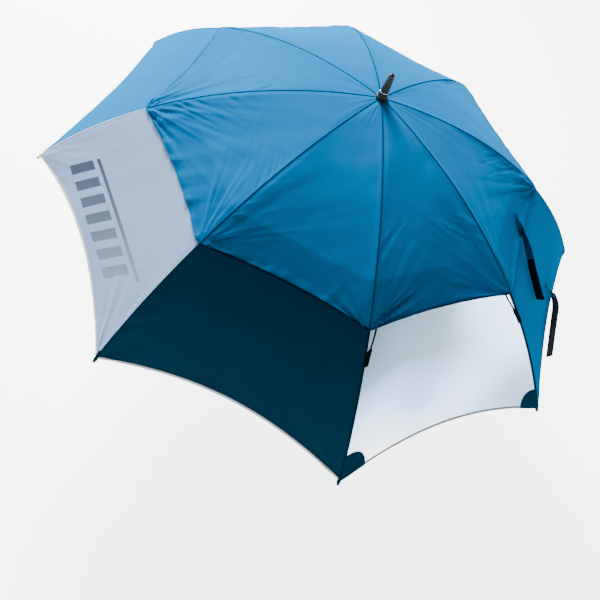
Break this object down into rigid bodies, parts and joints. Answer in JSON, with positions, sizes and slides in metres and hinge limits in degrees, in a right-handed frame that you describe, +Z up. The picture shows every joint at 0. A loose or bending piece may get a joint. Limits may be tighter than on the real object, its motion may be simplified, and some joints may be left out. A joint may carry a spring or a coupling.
{
  "type": "golf umbrella",
  "caption": "Open vented golf umbrella with a layered canopy, white, navy and clear lower panels, folding ribs, a sliding runner, a straight handle and closure straps.",
  "frame": {"origin": "centre of the handle's flat bottom, on the shaft axis", "axes": "+Z up the shaft towards the ferrule; rib 1 lies on -X, rib 3 on -Y, rib 5 on +X and rib 7 on +Y"},
  "size_m": [1.5012, 1.5012, 1.0704],
  "materials": {
    "black_fibreglass": "satin black fibreglass",
    "black_nylon": "moulded black nylon",
    "black_gloss": "glossy black plastic",
    "button_grey": "matt grey plastic",
    "grip_rubber": "soft matt foam rubber",
    "steel_wire": "drawn steel wire",
    "silver": "polished silver ring",
    "blue_cloth": "bright blue woven nylon with a soft sheen",
    "navy_cloth": "dark navy woven nylon",
    "white_cloth": "cool white woven nylon",
    "clear_film": "clear frosted window film"
  },
  "bodies": {
    "shaft": {"shaft_tube": "black_fibreglass", "ferrule_tip": "black_fibreglass", "ferrule_ring": "silver", "canopy_cap": "black_fibreglass", "crown_notch": "black_nylon", "crown_wire": "steel_wire", "open_stop": "black_fibreglass", "lower_collar": "black_fibreglass", "handle_core": "black_nylon", "handle_grip": "grip_rubber", "handle_collar": "black_gloss", "handle_end_cap": "black_gloss"},
    "runner": {"runner_body": "black_nylon"},
    "runner_button": {"runner_button": "button_grey"},
    "rib_1": {"rib_1": "black_fibreglass", "rib_tip_1": "black_fibreglass", "upper_panel_1": "blue_cloth", "lower_panel_white": "white_cloth"},
    "stretcher_1": {"stretcher_1": "black_fibreglass"},
    "rib_2": {"rib_2": "black_fibreglass", "rib_tip_2": "black_fibreglass", "upper_panel_2": "blue_cloth", "lower_panel_navy": "navy_cloth"},
    "stretcher_2": {"stretcher_2": "black_fibreglass"},
    "rib_3": {"rib_3": "black_fibreglass", "rib_tip_3": "black_fibreglass", "upper_panel_3": "blue_cloth", "window_panel": "clear_film"},
    "stretcher_3": {"stretcher_3": "black_fibreglass"},
    "rib_4": {"rib_4": "black_fibreglass", "rib_tip_4": "black_fibreglass", "upper_panel_4": "blue_cloth", "lower_panel_blue_1": "blue_cloth", "strap_upper": "blue_cloth", "strap_lower": "blue_cloth"},
    "stretcher_4": {"stretcher_4": "black_fibreglass"},
    "rib_5": {"rib_5": "black_fibreglass", "rib_tip_5": "black_fibreglass", "upper_panel_5": "blue_cloth", "lower_panel_blue_2": "blue_cloth"},
    "stretcher_5": {"stretcher_5": "black_fibreglass"},
    "rib_6": {"rib_6": "black_fibreglass", "rib_tip_6": "black_fibreglass", "upper_panel_6": "blue_cloth", "lower_panel_blue_3": "blue_cloth"},
    "stretcher_6": {"stretcher_6": "black_fibreglass"},
    "rib_7": {"rib_7": "black_fibreglass", "rib_tip_7": "black_fibreglass", "upper_panel_7": "blue_cloth", "lower_panel_blue_4": "blue_cloth"},
    "stretcher_7": {"stretcher_7": "black_fibreglass"},
    "rib_8": {"rib_8": "black_fibreglass", "rib_tip_8": "black_fibreglass", "upper_panel_8": "blue_cloth", "lower_panel_blue_5": "blue_cloth"},
    "stretcher_8": {"stretcher_8": "black_fibreglass"}
  },
  "joints": [
    {"name": "runner_slide", "type": "slide", "parent": "shaft", "child": "runner", "axis": [0, 0, 1], "range_m": [-0.47184, 0]},
    {"name": "button_press", "type": "slide", "parent": "runner", "child": "runner_button", "axis": [0.9239, 0.3827, 0], "range_m": [0, 0.0015], "stiffness_N_per_m": 400, "springref_m": -0.0015},
    {"name": "rib_fold_1", "type": "hinge", "parent": "shaft", "child": "rib_1", "pos_m": [-0.0115, 0, 1.00022], "axis": [0, -1, 0], "range_deg": [0, 60.01], "deforming": ["upper_panel_1", "lower_panel_white"]},
    {"name": "stretcher_fold_1", "type": "hinge", "parent": "rib_1", "child": "stretcher_1", "pos_m": [-0.37936, 0, 0.89376], "axis": [0, -1, 0], "range_deg": [-108.5, 0]},
    {"name": "rib_fold_2", "type": "hinge", "parent": "shaft", "child": "rib_2", "pos_m": [-0.00813, -0.00813, 1.00022], "axis": [0.7071, -0.7071, 0], "range_deg": [0, 60.01], "deforming": ["upper_panel_2", "lower_panel_navy"]},
    {"name": "stretcher_fold_2", "type": "hinge", "parent": "rib_2", "child": "stretcher_2", "pos_m": [-0.26825, -0.26825, 0.89376], "axis": [0.7071, -0.7071, 0], "range_deg": [-108.5, 0]},
    {"name": "rib_fold_3", "type": "hinge", "parent": "shaft", "child": "rib_3", "pos_m": [0, -0.0115, 1.00022], "axis": [1, 0, 0], "range_deg": [0, 60.01], "deforming": ["upper_panel_3", "window_panel"]},
    {"name": "stretcher_fold_3", "type": "hinge", "parent": "rib_3", "child": "stretcher_3", "pos_m": [0, -0.37936, 0.89376], "axis": [1, 0, 0], "range_deg": [-108.5, 0]},
    {"name": "rib_fold_4", "type": "hinge", "parent": "shaft", "child": "rib_4", "pos_m": [0.00813, -0.00813, 1.00022], "axis": [0.7071, 0.7071, 0], "range_deg": [0, 60.01], "deforming": ["upper_panel_4", "lower_panel_blue_1", "strap_upper", "strap_lower"]},
    {"name": "stretcher_fold_4", "type": "hinge", "parent": "rib_4", "child": "stretcher_4", "pos_m": [0.26825, -0.26825, 0.89376], "axis": [0.7071, 0.7071, 0], "range_deg": [-108.5, 0]},
    {"name": "rib_fold_5", "type": "hinge", "parent": "shaft", "child": "rib_5", "pos_m": [0.0115, 0, 1.00022], "axis": [0, 1, 0], "range_deg": [0, 60.01], "deforming": ["upper_panel_5", "lower_panel_blue_2"]},
    {"name": "stretcher_fold_5", "type": "hinge", "parent": "rib_5", "child": "stretcher_5", "pos_m": [0.37936, 0, 0.89376], "axis": [0, 1, 0], "range_deg": [-108.5, 0]},
    {"name": "rib_fold_6", "type": "hinge", "parent": "shaft", "child": "rib_6", "pos_m": [0.00813, 0.00813, 1.00022], "axis": [-0.7071, 0.7071, 0], "range_deg": [0, 60.01], "deforming": ["upper_panel_6", "lower_panel_blue_3"]},
    {"name": "stretcher_fold_6", "type": "hinge", "parent": "rib_6", "child": "stretcher_6", "pos_m": [0.26825, 0.26825, 0.89376], "axis": [-0.7071, 0.7071, 0], "range_deg": [-108.5, 0]},
    {"name": "rib_fold_7", "type": "hinge", "parent": "shaft", "child": "rib_7", "pos_m": [0, 0.0115, 1.00022], "axis": [-1, 0, 0], "range_deg": [0, 60.01], "deforming": ["upper_panel_7", "lower_panel_blue_4"]},
    {"name": "stretcher_fold_7", "type": "hinge", "parent": "rib_7", "child": "stretcher_7", "pos_m": [0, 0.37936, 0.89376], "axis": [-1, 0, 0], "range_deg": [-108.5, 0]},
    {"name": "rib_fold_8", "type": "hinge", "parent": "shaft", "child": "rib_8", "pos_m": [-0.00813, 0.00813, 1.00022], "axis": [-0.7071, -0.7071, 0], "range_deg": [0, 60.01], "deforming": ["upper_panel_8", "lower_panel_blue_5"]},
    {"name": "stretcher_fold_8", "type": "hinge", "parent": "rib_8", "child": "stretcher_8", "pos_m": [-0.26825, 0.26825, 0.89376], "axis": [-0.7071, -0.7071, 0], "range_deg": [-108.5, 0]}
  ],
  "couplings": [
    {"joint": "rib_fold_1", "follows": "runner_slide", "rad_per_m": -2.2194},
    {"joint": "stretcher_fold_1", "follows": "runner_slide", "rad_per_m": 4.0127},
    {"joint": "rib_fold_2", "follows": "runner_slide", "rad_per_m": -2.2194},
    {"joint": "stretcher_fold_2", "follows": "runner_slide", "rad_per_m": 4.0127},
    {"joint": "rib_fold_3", "follows": "runner_slide", "rad_per_m": -2.2194},
    {"joint": "stretcher_fold_3", "follows": "runner_slide", "rad_per_m": 4.0127},
    {"joint": "rib_fold_4", "follows": "runner_slide", "rad_per_m": -2.2194},
    {"joint": "stretcher_fold_4", "follows": "runner_slide", "rad_per_m": 4.0127},
    {"joint": "rib_fold_5", "follows": "runner_slide", "rad_per_m": -2.2194},
    {"joint": "stretcher_fold_5", "follows": "runner_slide", "rad_per_m": 4.0127},
    {"joint": "rib_fold_6", "follows": "runner_slide", "rad_per_m": -2.2194},
    {"joint": "stretcher_fold_6", "follows": "runner_slide", "rad_per_m": 4.0127},
    {"joint": "rib_fold_7", "follows": "runner_slide", "rad_per_m": -2.2194},
    {"joint": "stretcher_fold_7", "follows": "runner_slide", "rad_per_m": 4.0127},
    {"joint": "rib_fold_8", "follows": "runner_slide", "rad_per_m": -2.2194},
    {"joint": "stretcher_fold_8", "follows": "runner_slide", "rad_per_m": 4.0127}
  ]
}
